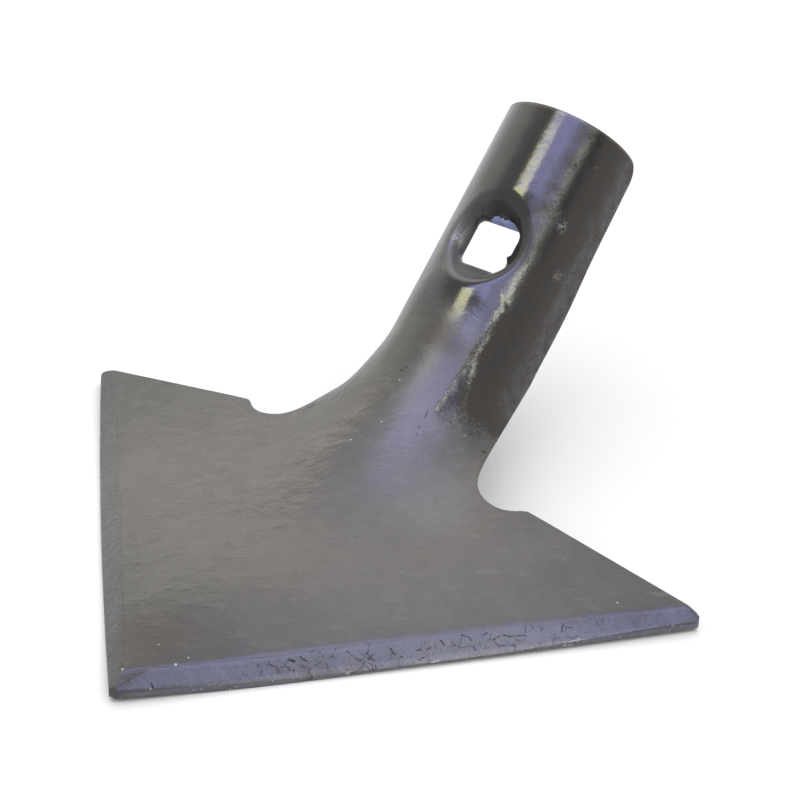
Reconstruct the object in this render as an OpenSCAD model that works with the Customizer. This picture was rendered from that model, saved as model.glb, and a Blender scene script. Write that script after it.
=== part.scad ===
// Cultivator sweep: an arched V blade and its half-round stem, forged from one steel plate.
// It stands on its two cutting edges, nose towards -Y, with the stem rising to the rear.
// The plate is one loft with its bevels; the notches, tips, recess and hole are then cut.

/* [Blade] */
// Width over the wing tips, before they are rounded
blade_width = 203; // [170:1:240]
// Length from the nose to the rear edges of the wings
blade_length = 114; // [100:1:140]
// Thickness of the plate
plate = 5; // [4:0.25:6.5]
// Angle at which each wing rises from its tip towards the middle
wing_angle = 10; // [6:0.5:14]
// Share of each wing that is rounded over the middle
crown_share = 0.55; // [0.4:0.05:0.75]
// Outward bow of each cutting edge, measured across the blade at half its length
edge_bow = 1.1; // [0.5:0.1:3]
// Width of the blunt nose
nose_width = 1.9; // [1.5:0.1:6]
// Radius of the wing tips, seen from above
tip_radius = 1.5; // [1:0.25:4]

/* [Cutting edge] */
// Height of the blunt land below the bevel, at the nose and the tips
land = 2.4; // [1.8:0.1:3.4]
// Width of the straight bevel, seen from above
bevel = 3.6; // [2:0.2:6]

/* [Stem] */
// Angle of the stem above the ground
stem_angle = 40.5; // [34:0.5:50]
// Outside radius of the half-round stem
stem_radius = 19.8; // [17:0.2:24]
// Straight length of the stem above its bend
stem_length = 69.5; // [60:0.5:100]
// Depth of the flat flanks behind the half-round, at the bend
flank_low = 8.8; // [6:0.2:14]
// Depth of the flat flanks at the stem's top end
flank_top = 6; // [5:0.2:12]
// Thickness of the flanks at their free edges, which thin out inside the channel
flank_edge = 1.5; // [1:0.25:4]
// Radius of the top corners of the flanks
corner_radius = 5; // [1:0.5:6]

/* [Bend] */
// Distance from the rear edges forward to where the blade's and the stem's crown lines would cross
bend_ahead = 9.5; // [4:0.5:16]
// Length over which the bend eases in, either way from that crossing
bend_reach = 43.5; // [36:0.5:55]
// Half width of the ridge that runs from the stem out over the blade
ridge_half = 36; // [32:0.5:45]
// Inward lean of the tongue's edges where they leave the blade
root_lean = 24; // [10:1:35]
// Pull of the tongue's edges along the blade, which sets how late they turn up
edge_pull_low = 22; // [16:1:34]
// Pull of the tongue's edges along the stem
edge_pull_high = 17; // [10:1:30]

/* [Relief notches] */
// Radius of the notch between each wing and the stem
notch_radius = 10; // [8.5:0.25:12]
// Distance between the two notches' centres
notch_spacing = 77; // [72:1:88]
// Distance of the notches' centres behind the rear edges
notch_behind = 6; // [4:0.5:7.5]

/* [Bolt hole] */
// Width of the square hole
hole = 13.8; // [10:0.1:14]
// Radius of the square hole's corners
hole_corner = 2; // [0.5:0.25:3]
// Distance of the hole from the stem's top end
hole_from_top = 42; // [30:1:48]
// Width of the round recess at the stem's crown
recess_width = 27; // [22:0.5:28]
// Width of the recess floor
recess_floor = 18; // [16:0.5:19]
// Depth of the recess below the crown
recess_depth = 5.8; // [4.5:0.1:6.5]
// Thickness of the recess floor, which stands out as a pad inside the channel
floor_thickness = 3; // [2:0.25:4.5]

/* [Hidden] */
$fn = 96;

// Rows and columns of the formed plate
nose_rows = 3;
front_rows = 7;
bend_rows = 12;
tongue_rows = 14;
corner_rows = 5;
tongue_cols = 14;
wing_cols = 5;

// Part of the half width that the inner columns keep at the nose, the reach of the cutters
// past the plate, the pad's rim around the recess floor, and a small step for slopes
nose_share = 0.4;
clear = 10;
pad_rim = 1.5;
small = 0.01;

// Wings: slope across the blade, half angle at the nose, and the plate's thickness upwards
wing_rise = tan(wing_angle);
nose_half = nose_width/2;
edge_slant = (blade_width/2 - nose_half)/blade_length;
half_nose = atan(edge_slant);
wing_fall = wing_rise/cos(half_nose);
plate_up = plate*sqrt(1 + wing_fall*wing_fall);

// Bevel: its width and its slope, both measured across the blade
bevel_across = bevel/cos(half_nose);
bevel_rise = wing_rise + (plate_up - land)/bevel_across;
mitre_y = (bevel_across - nose_half)/edge_slant/(1 - nose_share) - blade_length;

// Crown line [y, z]: the blade's ridge, an arc, then the stem
ridge_slope = wing_rise*(1 - crown_share/2)*edge_slant;
ridge_angle = atan(ridge_slope);
ridge_height = plate_up + wing_rise*(1 - crown_share/2)*blade_width/2;
bend_radius = bend_reach/tan((stem_angle - ridge_angle)/2);
bend_corner = [-bend_ahead, ridge_height - ridge_slope*bend_ahead];
bend_start = bend_corner - bend_reach*[cos(ridge_angle), sin(ridge_angle)];
bend_end = bend_corner + bend_reach*[cos(stem_angle), sin(stem_angle)];
bend_centre = bend_start + bend_radius*[-sin(ridge_angle), cos(ridge_angle)];

// Half width at which the tongue leaves the blade, which the notches trim back
notch_stock = 1;
root_half = notch_spacing/2 - sqrt(notch_radius*notch_radius - notch_behind*notch_behind) + notch_stock;

function unit(v) = v/norm(v);
function mix(a, b, share) = a + (b - a)*share;
function eased(share) = share*share*(3 - 2*share);

// Half width of the blade to the straight line from nose to tip, and to its bowed edge
function straight_half(y) = blade_width/2 + edge_slant*y;
function half_width(y) =
    let (t = 1 + y/blade_length)
    straight_half(y) + edge_bow*4*t*(1 - t);

// Half width to the line where the bevel starts
function bevel_half(y) =
    let (bow = half_width(y) - straight_half(y))
    straight_half(y) - bevel_across*(1 + wing_rise*bow/(plate_up - land));
function inner_half(y) = max(bevel_half(y), nose_share*half_width(y));

// Height by which the crown line bends up above the blade's own ridge
function bend_lift(y) =
    let (dy = y - bend_centre.x)
    y < bend_start.x ? 0
    : bend_centre.y - sqrt(bend_radius*bend_radius - dy*dy) - ridge_height - ridge_slope*y;

// Share of that lift across the ridge, from 1 on the crown to 0 at its foot
function ridge_share(x) = (1 + cos(180*min(abs(x)/ridge_half, 1)))/2;

// Distance out from the middle by which a wing has fallen, rounded over the crown
function fall(x, crown) = abs(x) > crown ? abs(x) : (x*x + crown*crown)/(2*crown);

// Heights over the ground of the plate's upper face, and of the bevel's plane
function blade_top(x, y) =
    let (half = half_width(y))
    plate_up + wing_rise*(half - fall(x, crown_share*half)) + bend_lift(y)*ridge_share(x);
function bevel_top(x, y) = land + bevel_rise*(straight_half(y) - abs(x));

function slope_x(x, y) = (blade_top(x + small, y) - blade_top(x - small, y))/(2*small);
function slope_y(x, y) = (blade_top(x, y + small) - blade_top(x, y - small))/(2*small);

// Step down through the plate: upright near the nose, square to the face at the rear
function plate_step(x, y) =
    let (square = plate*unit([-slope_x(x, y), -slope_y(x, y), 1]))
    mix([0, 0, plate_up], square, eased(max(0, 1 - y/bend_start.x)));

// Point of the half-round section: v runs from -1 to 1 over its developed width
function stem_point(v, along, flank) =
    let (
        arc = stem_radius*PI/2,
        s = abs(v)*(arc + flank),
        turn = 90*min(s/arc, 1),
        x = sign(v)*stem_radius*sin(turn),
        drop = stem_radius*(1 - cos(turn)) + max(s - arc, 0)
    )
    [
        x,
        bend_end.x + along*cos(stem_angle) + drop*sin(stem_angle),
        bend_end.y + along*sin(stem_angle) - drop*cos(stem_angle)
    ];

// Directions in which the tongue leaves the blade and enters the stem, with their pulls
bend_left = stem_angle - atan(slope_y(0, 0));
crown_pull = 4*bend_radius*tan(bend_left/4);
function root_pull(v) =
    let (
        x = root_half*v,
        lean = -tan(root_lean)*v
    )
    mix(crown_pull, edge_pull_low, v*v)*unit([lean, 1, slope_y(x, 0) + lean*slope_x(x, 0)]);
function stem_pull(v) =
    mix(crown_pull, edge_pull_high, v*v)*[0, cos(stem_angle), sin(stem_angle)];

// Point of the bent tongue: t runs from 0 at the blade to 1 at the straight stem
function tongue_point(v, t) =
    let (root = [root_half*v, 0, blade_top(root_half*v, 0)])
    mix(root, stem_point(v, 0, flank_low), eased(t))
    + t*(1 - t)*((1 - t)*root_pull(v) - t*stem_pull(v));

// Point of the stem's end, where turn runs from 0 to 90 round the flanks' top corners
function end_point(v, turn) =
    let (
        along = stem_length - corner_radius*(1 - sin(turn)),
        flank = mix(flank_low, flank_top, along/stem_length) - corner_radius*(1 - cos(turn))
    )
    stem_point(v, along, flank);

// Place across the blade of each column: the tongue's columns, the wing's, then the edge
edge_col = tongue_cols + wing_cols + 1;
root_share = root_half/inner_half(0);
function column_share(j) =
    abs(j) <= tongue_cols ? root_share*j/tongue_cols
    : sign(j)*mix(root_share, 1, (abs(j) - tongue_cols)/wing_cols);

// Places of the blade's rows, from the nose to the rear edges
row_y = concat(
    [for (i = [0:nose_rows]) mix(-blade_length, mitre_y, i/nose_rows)],
    [for (i = [1:front_rows]) mix(mitre_y, bend_start.x, i/front_rows)],
    [for (i = [1:bend_rows]) mix(bend_start.x, 0, i/bend_rows)]
);
last_row = len(row_y) - 1;
end_row = last_row + tongue_rows + corner_rows + 1;

// Each point of the plate as its [upper, lower] pair
function inner_pair(x, y) =
    [
        [x, y, min(blade_top(x, y), bevel_top(x, y))],
        [x, y, blade_top(x, y)] - plate_step(x, y)
    ];
function edge_pair(x, y) = [[x, y, bevel_top(x, y)], [x, y, 0]];
blade_pairs = [
    for (y = row_y)
        for (j = [-edge_col:edge_col])
            abs(j) == edge_col ? edge_pair(sign(j)*half_width(y), y)
            : inner_pair(column_share(j)*inner_half(y), y)
];

// Upper face of the tongue, row by row, starting with the blade's own last row
tongue_grid = concat(
    [for (i = [0:tongue_rows])
        [for (j = [-tongue_cols:tongue_cols]) tongue_point(j/tongue_cols, i/tongue_rows)]],
    [for (i = [0:corner_rows])
        [for (j = [-tongue_cols:tongue_cols]) end_point(j/tongue_cols, 90*i/corner_rows)]]
);
function tongue_normal(i, j) =
    let (
        end = len(tongue_grid) - 1,
        along = tongue_grid[min(i + 1, end)][j] - tongue_grid[i - 1][j],
        across = tongue_grid[i][min(j + 1, 2*tongue_cols)] - tongue_grid[i][max(j - 1, 0)]
    )
    unit(cross(across, along));

// Thickness of the tongue and the stem, which thins from the half-round to the flanks' edges
stem_arc = stem_radius*PI/2;
flank_start = stem_arc/(stem_arc + flank_low);
function tongue_plate(i, v) =
    let (
        out = max(0, abs(v) - flank_start)/(1 - flank_start),
        up = min(i/tongue_rows, 1)
    )
    mix(plate, flank_edge, eased(out)*eased(up));
tongue_pairs = [
    for (i = [1:len(tongue_grid) - 1])
        for (j = [0:2*tongue_cols])
            let (upper = tongue_grid[i][j])
            [upper, upper - tongue_plate(i, j/tongue_cols - 1)*tongue_normal(i, j)]
];

// Numbers of the points of the upper face; those of the lower face follow in the same order
pairs = concat(blade_pairs, tongue_pairs);
lower = len(pairs);
function point_id(i, j) =
    i <= last_row ? i*(2*edge_col + 1) + edge_col + j
    : len(blade_pairs) + (i - last_row - 1)*(2*tongue_cols + 1) + tongue_cols + j;

function quad(a, b, c, d) = [[a, b, c], [a, c, d]];
function cell(i, j) =
    let (
        a = point_id(i, j),
        b = point_id(i + 1, j),
        c = point_id(i + 1, j + 1),
        d = point_id(i, j + 1)
    )
    concat(quad(a, b, c, d), quad(lower + d, lower + c, lower + b, lower + a));
function wall(a, b) = quad(a, b, lower + b, lower + a);

// Rim of the plate, counted round from the left end of the nose row
plate_rim = concat(
    [for (j = [-edge_col:edge_col]) point_id(0, j)],
    [for (i = [1:last_row]) point_id(i, edge_col)],
    [for (j = [edge_col - 1:-1:tongue_cols]) point_id(last_row, j)],
    [for (i = [last_row + 1:end_row]) point_id(i, tongue_cols)],
    [for (j = [tongue_cols - 1:-1:-tongue_cols]) point_id(end_row, j)],
    [for (i = [end_row - 1:-1:last_row]) point_id(i, -tongue_cols)],
    [for (j = [-tongue_cols - 1:-1:-edge_col]) point_id(last_row, j)],
    [for (i = [last_row - 1:-1:1]) point_id(i, -edge_col)]
);

// The part is centred front to back over the ground that it covers
rear_y = max([for (row = tongue_grid) for (p = row) p.y]);
centre_y = (rear_y - blade_length)/2;

// Plate formed to the blade's arch and the stem's channel, with the bevels along its edges
module formed_plate() {
    polyhedron(
        points = concat([for (p = pairs) p[0]], [for (p = pairs) p[1]]),
        faces = concat(
            [for (i = [0:last_row - 1]) for (j = [-edge_col:edge_col - 1]) each cell(i, j)],
            [for (i = [last_row:end_row - 1]) for (j = [-tongue_cols:tongue_cols - 1]) each cell(i, j)],
            [for (k = [0:len(plate_rim) - 1])
                each wall(plate_rim[k], plate_rim[(k + 1) % len(plate_rim)])]
        )
    );
}

// Round notch that relieves the corner between the right wing and the stem
module relief_notch() {
    translate([notch_spacing/2, notch_behind, -clear])
        cylinder(r = notch_radius, h = ridge_height + 2*clear);
}

// Waste outside the rounded corner of the right wing tip
module tip_waste() {
    slant = atan(edge_slant - 4*edge_bow/blade_length);
    run = tip_radius/tan((90 - slant)/2);
    translate([blade_width/2, 0, -clear]) linear_extrude(height = plate_up + 2*clear) difference() {
        polygon([
            [-run, -tip_radius],
            -run*[sin(slant), cos(slant)],
            clear*[cos(slant), -sin(slant)],
            [clear, clear],
            [-run, clear]
        ]);
        translate([-run, -tip_radius]) circle(tip_radius);
    }
}

// Frame of the bolt hole: origin on the stem's crown, Z out of it and Y up the stem
module at_hole() {
    along = stem_length - hole_from_top;
    translate([0, bend_end.x + along*cos(stem_angle), bend_end.y + along*sin(stem_angle)])
        rotate([stem_angle, 0, 0]) children();
}

// Pad that the punched recess pushes out inside the channel
module recess_pad() {
    depth = recess_depth + floor_thickness;
    at_hole() translate([0, 0, -depth]) cylinder(r = recess_floor/2 + pad_rim, h = floor_thickness + pad_rim);
}

// Round recess for the bolt's head, and the square hole for its neck
module bolt_punch() {
    flare = (recess_width - recess_floor)/2/recess_depth;
    at_hole() {
        translate([0, 0, -recess_depth])
            cylinder(
                r1 = recess_floor/2,
                r2 = recess_floor/2 + flare*(recess_depth + plate),
                h = recess_depth + plate
            );
        linear_extrude(height = 2*stem_radius, center = true) {
            square([hole - 2*hole_corner, hole], center = true);
            square([hole, hole - 2*hole_corner], center = true);
            for (x = [-1, 1], y = [-1, 1])
                translate([x, y]*(hole/2 - hole_corner)) circle(hole_corner);
        }
    }
}

module sweep() {
    color("dimgray") translate([0, -centre_y, 0]) difference() {
        union() {
            formed_plate();
            recess_pad();
        }
        for (side = [0, 1]) mirror([side, 0, 0]) {
            relief_notch();
            tip_waste();
        }
        bolt_punch();
    }
}

sweep();
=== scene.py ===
from math import atan, atan2, copysign, cos, hypot, pi, radians, sin, sqrt, tan

import bmesh
import bpy
from mathutils import Matrix, Vector, noise


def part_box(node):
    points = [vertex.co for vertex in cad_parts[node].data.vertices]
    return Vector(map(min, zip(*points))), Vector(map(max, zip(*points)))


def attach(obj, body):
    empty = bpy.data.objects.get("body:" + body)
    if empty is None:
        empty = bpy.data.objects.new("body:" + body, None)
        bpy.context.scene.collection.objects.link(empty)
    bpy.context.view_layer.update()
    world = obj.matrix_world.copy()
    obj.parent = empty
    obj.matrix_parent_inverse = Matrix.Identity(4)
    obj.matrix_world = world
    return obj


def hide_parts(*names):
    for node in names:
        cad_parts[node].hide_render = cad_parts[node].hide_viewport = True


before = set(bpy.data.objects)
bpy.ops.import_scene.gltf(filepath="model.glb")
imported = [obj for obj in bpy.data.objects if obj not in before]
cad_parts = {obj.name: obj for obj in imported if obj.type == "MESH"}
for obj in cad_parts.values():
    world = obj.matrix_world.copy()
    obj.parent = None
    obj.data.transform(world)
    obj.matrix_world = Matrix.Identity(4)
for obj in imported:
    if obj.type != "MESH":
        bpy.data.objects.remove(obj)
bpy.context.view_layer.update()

bl_info = {
    "name": "Cultivator sweep",
    "version": (1, 0, 0),
    "blender": (4, 5, 0),
    "location": "View3D > Sidebar > Sweep",
    "description": "Models a lacquered V-shaped cultivator sweep on its stage",
    "category": "Add Mesh",
}

MM = 0.001
NODE_LOW = Vector(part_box("sweep")[0])
IMAGE_SIDE = 800
SENSOR_WIDTH = 36.0


def number(name, description, default, **options):
    """A number that a user can change."""
    return bpy.props.FloatProperty(name=name, description=description, default=default, **options)


def length(name, description, value):
    """A size of the sweep, written in millimetres."""
    return number(name, description, value * MM, unit="LENGTH")


def angle(name, description, value):
    """An angle of the sweep, written in degrees."""
    return number(name, description, radians(value), subtype="ANGLE")


def share(name, description, value):
    """A number between nothing and all."""
    return number(name, description, value, min=0.0, max=1.0)


def colour(name, description, value):
    """A linear colour."""
    return bpy.props.FloatVectorProperty(
        name=name, description=description, default=value, size=3, subtype="COLOR", min=0.0, max=1.0
    )


class SweepSizes(bpy.types.PropertyGroup):
    """Sizes of the formed plate."""

    blade_width: length("Blade width", "Width over the wing tips, before rounding", 201.5)
    blade_length: length("Blade length", "Length from the nose to the rear edges", 114)
    plate: length("Plate", "Thickness of the plate", 5)
    wing_angle: angle("Wing angle", "Angle at which each wing rises towards the middle", 10)
    crown_share: share("Crown share", "Share of each wing rounded over the middle", 0.55)
    edge_bow: length("Edge bow", "Outward bow of each cutting edge at half its length", 1.4)
    nose_width: length("Nose width", "Width of the blunt nose", 1.9)
    tip_radius: length("Tip radius", "Radius of the wing tips, seen from above", 0.9)
    nose_lift: length("Nose lift", "Height of the nose off the ground", 1.2)
    edge_wear: length("Edge wear", "Height worn off the land's lower edge, away from the nose", 1.0)
    land: length("Land", "Height of the blunt land below the bevel", 2.4)
    tip_land: length("Tip land", "Growth of the land towards the tips", 1.2)
    bevel: length("Bevel", "Width of the bevel, seen from above", 3.6)
    stem_angle: angle("Stem angle", "Angle of the stem above the ground", 40.5)
    stem_radius: length("Stem radius", "Outside radius of the half-round stem", 19.8)
    stem_length: length("Stem length", "Straight length of the stem above its bend", 69.48)
    flank_low: length("Lower flank", "Depth of the flat flanks at the bend", 8.8)
    flank_top: length("Upper flank", "Depth of the flat flanks at the stem's end", 6)
    flank_edge: length("Flank edge", "Thickness of the flanks at their free edges", 1.5)
    corner_radius: length("Corner radius", "Radius of the flanks' top corners", 5)
    bend_ahead: length("Bend ahead", "From the rear edges to the crown lines' crossing", 9.5)
    bend_reach: length("Bend reach", "Length over which the bend eases in, either way", 43.5)
    ridge_half: length("Ridge half width", "Half width of the ridge over the blade", 34.5)
    root_lean: angle("Root lean", "Inward lean of the tongue's sides at the blade", 24)
    edge_pull_low: length("Lower pull", "Pull of the tongue's edges along the blade", 22)
    edge_pull_high: length("Upper pull", "Pull of the tongue's edges along the stem", 17)
    shoulder: length("Shoulder", "Fullness of the bend's shoulders", 1.0)
    flank_full: length("Flank fullness", "Extra depth of the flanks above the bend", 1.0)
    notch_radius: length("Notch radius", "Radius of the notch between each wing and the stem", 10)
    notch_spacing: length("Notch spacing", "Distance between the notches' centres", 77)
    notch_behind: length("Notch behind", "Notches' centres behind the rear edges", 6)
    notch_round: length("Notch round", "Rounding of the notches' outer corners", 1.8)
    hole: length("Hole", "Width of the square hole", 13.8)
    hole_burr: length("Hole burr", "Width of the torn upper edge of the hole", 1.5)
    hole_lip: length("Hole lip", "Thickness of the floor at the hole's edge", 0.8)
    hole_flare: length("Hole flare", "Widening of the hole below its edge", 0.9)
    dish: length("Dish", "Dishing of the floor towards the hole", 1.3)
    hole_corner: length("Hole corner", "Radius of the square hole's corners", 2)
    hole_from_top: length("Hole from top", "Distance of the hole from the stem's end", 42)
    recess_width: length("Recess width", "Width of the round recess at the stem's crown", 27)
    recess_floor: length("Recess floor", "Width of the recess floor", 18)
    recess_depth: length("Recess depth", "Depth of the recess below the crown", 5.8)
    floor_thickness: length("Floor thickness", "Thickness of the recess floor", 3)
    pad_rim: length("Pad rim", "Rim of the pad inside the channel", 1.5)
    rim_round: length("Rim round", "Rounding of the plate's rim", 0.5)
    recess_round: length("Recess round", "Rounding of the recess's rim", 3.2)
    crease_round: length("Crease round", "Half width of the soft crease above the bevel", 0.5)


class LacquerFinish(bpy.types.PropertyGroup):
    """Colours of the lacquer and of the steel under it, and of painted highlights, reflections and
    shade.
    """

    blade: colour("Blade", "Satin lacquer of the wings", (0.088, 0.082, 0.074))
    nose: colour("Nose", "Duller lacquer towards the nose and the tips", (0.034, 0.031, 0.028))
    dusty: colour("Dusty", "Dusty lacquer on the left of the stem", (0.042, 0.038, 0.034))
    stem: colour("Stem", "Glossy lacquer of the stem", (0.013, 0.0115, 0.0105))
    # Painted light: the lower and left wall of the recess is made lighter, where light falls into
    # it
    recess: colour("Recess", "Satin lacquer inside the recess", (0.095, 0.093, 0.1))
    # Partly painted reflection: the hole's torn steel, made brighter and bluer than it would look
    # where it lies in shade
    burr: colour("Burr", "Bright torn edge of the hole", (0.3, 0.33, 0.6))
    # Painted shade: this dull brown film on the right flank stands in for the dark surroundings
    # reflected in it
    stain_and_shade: colour("Stain", "Dull brown stain on the flanks", (0.07, 0.061, 0.054))
    # Also a painted highlight: the pale speckled streak down the right of the root
    chip_and_glint: colour("Chip", "Bare and filed steel where the lacquer is chipped", (0.56, 0.54, 0.5))
    # Also painted shade: the near-black band on the stem's right flank, beside the strip
    pit: colour("Pit", "Dirt in pits, cracks and nicks", (0.012, 0.011, 0.01))
    # Painted reflection: this paler colour on the right land stands in for the floor's light
    # reflected in it
    land: colour("Land", "Paler lacquer of the right land", (0.32, 0.31, 0.33))
    # Painted reflection: the right bevel's bluish sheen stands in for a blue light reflected in it
    bevel_sheen: colour("Bevel sheen", "Bluish sheen of the right bevel", (0.3, 0.33, 0.58))
    # Painted highlight: a pale glow along the left rim, standing in for the white surroundings
    # reflected at grazing angles
    rim_glow: colour("Rim glow", "Pale glow of the root's and stem's left rim", (0.5, 0.49, 0.47))
    # Painted reflection: bluish sheen right of the bend
    bend_sheen: colour("Bend sheen", "Bluish sheen right of the bend", (0.3, 0.3, 0.42))
    # Painted reflection: pale bluish sheen on the wing right of the root
    wing_sheen: colour("Wing sheen", "Pale sheen right of the root", (0.35, 0.34, 0.4))
    # Painted highlight: a pale brown line along the edge of the stem's end
    stem_end_highlight: colour("Stem end", "Rubbed edge of the stem's end", (0.16, 0.14, 0.12))
    # Partly painted highlight: besides lighter grain, this colour paints the highlights of dents
    # and of the left wing's relief
    mark: colour("Mark", "Light grain and marks of rolling", (0.3, 0.29, 0.27))


class StageSettings(bpy.types.PropertyGroup):
    """Floor, lamps and camera of the photograph."""

    azimuth: angle("Azimuth", "Camera's turn to the right of the nose", 33.864)
    elevation: angle("Elevation", "Camera's height above the ground, as an angle", 31.168)
    roll: angle("Roll", "Camera's turn about its own view", 2.139)
    distance: length("Distance", "Distance of the camera from its target", 697.16)
    focal_pixels: number("Focal length", "Focal length in pixels of the picture", 2640.9)
    target: bpy.props.FloatVectorProperty(
        name="Target", description="Point that the camera looks at",
        default=(8.658 * MM, 5.512 * MM, 37.629 * MM), size=3, subtype="TRANSLATION",
    )
    fill: share("Fill", "Strength of the surroundings as light", 0.68)
    floor_colour: colour("Floor", "Colour of the floor and backdrop", (0.96, 0.96, 0.96))


def mix(a, b, part):
    """The value a given part of the way from a to b."""
    return a + (b - a) * part


def eased(part):
    """A part of the way that starts and ends slowly."""
    part = min(max(part, 0.0), 1.0)
    return part * part * (3.0 - 2.0 * part)


def hump(part):
    """A rise from nothing at 0 to all at a half, and back to nothing at 1."""
    return sin(pi * min(max(part, 0.0), 1.0)) ** 2


def spread(stops, counts):
    """Numbers from stop to stop, with a count of steps between each two."""
    numbers = [stops[0]]
    for low, high, count in zip(stops, stops[1:], counts):
        numbers += [mix(low, high, (k + 1) / count) for k in range(count)]
    return numbers


def soft_min(a, b, reach):
    """The lesser of two heights, blended where they are close."""
    h = max(reach - abs(a - b), 0.0) / reach
    return min(a, b) - h * h * reach / 4.0


class PlateForm:
    """Form of the plate in the blade's own frame, whose rear edges lie at y = 0."""

    SMALL = 0.01 * MM
    NOSE_SHARE = 0.4
    EDGE_TURN = 8
    NOTCH_TAPER = 1.14
    # Parts of the cutting edge, of the bevel's width and of the stem's length
    LIFT_END, WEAR_START, WEAR_RUN, LAND_START = 0.25, 0.22, 0.3, 0.6
    WORN_INSIDE, FULL_PART = 0.6, 0.62
    # Shoulders of the bend: their way out, and where they start and how far they run
    SHOULDER_WAY = Vector((0.74, -0.3, 0.6))
    SHOULDER_UP, SHOULDER_ACROSS = (0.04, 0.86), (0.15, 0.45)

    def __init__(self, sizes):
        s = self.sizes = sizes
        self.wing_rise = tan(s.wing_angle)
        self.edge_slant = (s.blade_width - s.nose_width) / 2 / s.blade_length
        half_nose = atan(self.edge_slant)
        wing_fall = self.wing_rise / cos(half_nose)
        self.plate_up = s.plate * hypot(1, wing_fall)
        self.bevel_across = s.bevel / cos(half_nose)
        rise = self.wing_rise * (1 - s.crown_share / 2)
        self.ridge_slope = rise * self.edge_slant
        ridge_angle = atan(self.ridge_slope)
        self.ridge_height = self.plate_up + rise * s.blade_width / 2
        self.bend_radius = s.bend_reach / tan((s.stem_angle - ridge_angle) / 2)
        corner = Vector((-s.bend_ahead, self.ridge_height - self.ridge_slope * s.bend_ahead))
        ridge_way = Vector((cos(ridge_angle), sin(ridge_angle)))
        self.stem_way = Vector((cos(s.stem_angle), sin(s.stem_angle)))
        self.stem_out = Vector((-self.stem_way.y, self.stem_way.x))
        self.bend_start = corner - s.bend_reach * ridge_way
        self.bend_end = corner + s.bend_reach * self.stem_way
        self.bend_centre = self.bend_start + self.bend_radius * Vector((-ridge_way.y, ridge_way.x))
        self.notch_x = s.notch_spacing / 2
        self.notch_half = sqrt(s.notch_radius**2 - s.notch_behind**2)
        self.root_half = self.notch_x - self.notch_half
        self.notch_lean = s.notch_behind / self.notch_half
        bend_left = s.stem_angle - atan(self.slopes(0, 0)[1])
        self.crown_pull = 4 * self.bend_radius * tan(bend_left / 4)
        self.hole_along = s.stem_length - s.hole_from_top
        self.stem_arc = s.stem_radius * pi / 2
        self.flank_start = self.stem_arc / (self.stem_arc + s.flank_low)

    def straight_half(self, y):
        """Half width to the straight line from nose to tip."""
        return self.sizes.blade_width / 2 + self.edge_slant * y

    def edge_part(self, y):
        """Part of the cutting edge, from 0 at the nose to 1 at the tip."""
        return 1 + y / self.sizes.blade_length

    def half_width(self, y):
        """Half width to the bowed cutting edge."""
        t = self.edge_part(y)
        return self.straight_half(y) + self.sizes.edge_bow * 4 * t * (1 - t)

    def inner_half(self, y):
        """Half width to the last column before the crease."""
        bow = self.half_width(y) - self.straight_half(y)
        over = self.wing_rise * bow / (self.plate_up - self.sizes.land)
        crease = self.straight_half(y) - self.bevel_across * (1 + over)
        return max(crease - self.sizes.crease_round, self.NOSE_SHARE * self.half_width(y))

    def bend_lift(self, y):
        """Rise of the crown line above the blade's own ridge."""
        if y < self.bend_start.x:
            return 0.0
        drop = sqrt(self.bend_radius**2 - (y - self.bend_centre.x) ** 2)
        return self.bend_centre.y - drop - self.ridge_height - self.ridge_slope * y

    def blade_top(self, x, y):
        """Height of the plate's upper face, without its bevels."""
        half = self.half_width(y)
        crown = self.sizes.crown_share * half
        fall = abs(x) if abs(x) > crown else (x * x + crown * crown) / (2 * crown)
        ridge = (1 + cos(pi * min(abs(x) / self.sizes.ridge_half, 1))) / 2
        return self.plate_up + self.wing_rise * (half - fall) + self.bend_lift(y) * ridge

    def land_at(self, y):
        """Height of the land, which grows towards the tips."""
        grown = (self.edge_part(y) - self.LAND_START) / (1 - self.LAND_START)
        return self.sizes.land + self.sizes.tip_land * eased(grown)

    def bevel_top(self, x, y):
        """Height of the bevel's plane."""
        land = self.land_at(y)
        rise = self.wing_rise + (self.plate_up - land) / self.bevel_across
        return land + rise * (self.straight_half(y) - abs(x))

    def slopes(self, x, y):
        """Slopes of the upper face across and along the blade."""
        d = self.SMALL
        across = self.blade_top(x + d, y) - self.blade_top(x - d, y)
        along = self.blade_top(x, y + d) - self.blade_top(x, y - d)
        return across / (2 * d), along / (2 * d)

    def plate_step(self, x, y):
        """Step down through the plate: upright near the nose, square to the face at the rear."""
        across, along = self.slopes(x, y)
        square = Vector((-across, -along, 1)).normalized() * self.sizes.plate
        return Vector((0, 0, self.plate_up)).lerp(square, eased(1 - y / self.bend_start.x))

    def ground_lift(self, y):
        """Slight rise of the blade towards its nose."""
        return self.sizes.nose_lift * eased(1 - self.edge_part(y) / self.LIFT_END)

    def worn_edge(self, y):
        """Height worn off the land's lower edge."""
        worn = (self.edge_part(y) - self.WEAR_START) / self.WEAR_RUN
        return self.sizes.edge_wear * eased(worn)

    def rounded_tip(self, x, y):
        """Plan place of a blade point once the wing tip's corner is rounded."""
        s = self.sizes
        slant = atan(self.edge_slant - 4 * s.edge_bow / s.blade_length)
        run = s.tip_radius / tan((pi / 2 - slant) / 2)
        centre = Vector((s.blade_width / 2 - run, -s.tip_radius))
        away = Vector((abs(x), y)) - centre
        reach = max(away.dot(Vector((cos(slant), -sin(slant)))), away.y)
        between = -slant < atan2(away.y, away.x) < pi / 2
        if reach <= 0 or not between:
            return x, y
        place = centre + away * (reach / away.length)
        return copysign(place.x, x), place.y

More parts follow.
